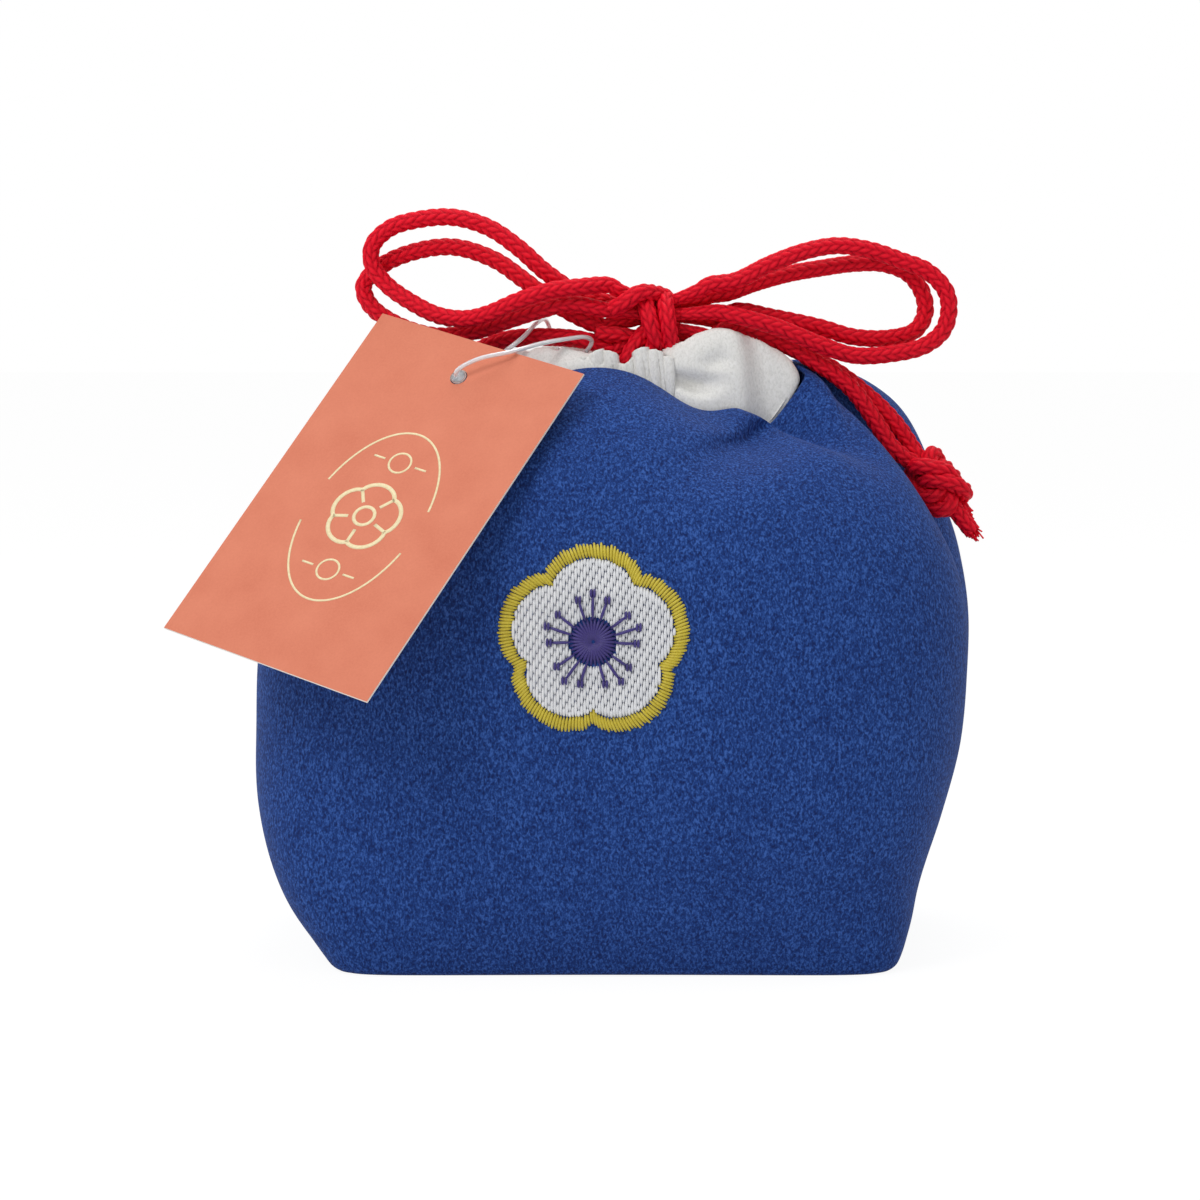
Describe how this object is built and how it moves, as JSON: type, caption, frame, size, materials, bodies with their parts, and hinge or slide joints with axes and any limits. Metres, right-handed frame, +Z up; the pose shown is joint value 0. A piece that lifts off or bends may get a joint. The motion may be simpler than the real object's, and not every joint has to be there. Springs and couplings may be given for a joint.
{
  "type": "drawstring pouch",
  "caption": "Stuffed drawstring pouch with a boxed base, gathered mouth, bow-tied braided cord with knotted tails, embroidered blossom and a hanging card tag.",
  "frame": {"origin": "middle of the base, on the surface that the pouch stands on", "axes": "+X to the right along the front, the front faces -Y, +Z up"},
  "size_m": [0.1818, 0.1346, 0.1673],
  "materials": {
    "blue_crepe": "matte pebbled crepe",
    "white_crepe": "matte fine crepe",
    "red_braid": "silky round braid",
    "mustard_thread": "satin stitch",
    "white_thread": "filling stitch",
    "indigo_thread": "satin stitch",
    "salmon_card": "uncoated printed card",
    "clear_plastic": "clear moulded filament"
  },
  "bodies": {
    "pouch": {"outer_front_panel": "blue_crepe", "lining_front_panel": "white_crepe", "outer_back_panel": "blue_crepe", "lining_back_panel": "white_crepe", "mouth_band_left": "white_crepe", "mouth_band_right": "white_crepe", "drawcord_front": "red_braid", "drawcord_back": "red_braid", "bow_knot": "red_braid", "right_root_front": "red_braid", "right_root_back": "red_braid", "left_root_front": "red_braid", "left_root_back": "red_braid", "blossom_border": "mustard_thread", "blossom_petals": "white_thread", "blossom_centre": "indigo_thread"},
    "left_bow": {"left_loop_outer": "red_braid", "left_loop_inner": "red_braid"},
    "right_bow": {"right_loop_outer": "red_braid", "right_loop_inner": "red_braid"},
    "right_tail": {"right_tail_front": "red_braid", "right_tail_back": "red_braid", "right_end_knot": "red_braid", "right_cord_end": "red_braid"},
    "left_tail": {"left_tail_front": "red_braid", "left_tail_back": "red_braid", "left_end_knot": "red_braid", "left_cord_end": "red_braid"},
    "tag_loop": {"tag_fastener": "clear_plastic"},
    "tag": {"hang_tag": "salmon_card"}
  },
  "joints": [
    {"name": "left_bow_lift", "type": "hinge", "parent": "pouch", "child": "left_bow", "pos_m": [0.0101, -0.009, 0.1438], "axis": [0, 1, 0], "range_deg": [0, 30]},
    {"name": "right_bow_lift", "type": "hinge", "parent": "pouch", "child": "right_bow", "pos_m": [0.0101, -0.009, 0.1438], "axis": [0, -1, 0], "range_deg": [0, 30]},
    {"name": "right_tail_lift", "type": "hinge", "parent": "pouch", "child": "right_tail", "pos_m": [0.0466, -0.0047, 0.135], "axis": [0, -1, 0], "range_deg": [0, 25]},
    {"name": "left_tail_lift", "type": "hinge", "parent": "pouch", "child": "left_tail", "pos_m": [-0.0371, 0.0046, 0.135], "axis": [0.208, 0.9781, 0], "range_deg": [0, 45]},
    {"name": "tag_loop_swing", "type": "hinge", "parent": "pouch", "child": "tag_loop", "pos_m": [-0.011, -0.0052, 0.1382], "axis": [-0.9429, 0.333, 0], "range_deg": [0, 16]},
    {"name": "tag_flap", "type": "hinge", "parent": "tag_loop", "child": "tag", "pos_m": [-0.0343, -0.0259, 0.1304], "axis": [-0.8256, 0.5177, 0.2244], "range_deg": [0, 30]}
  ]
}
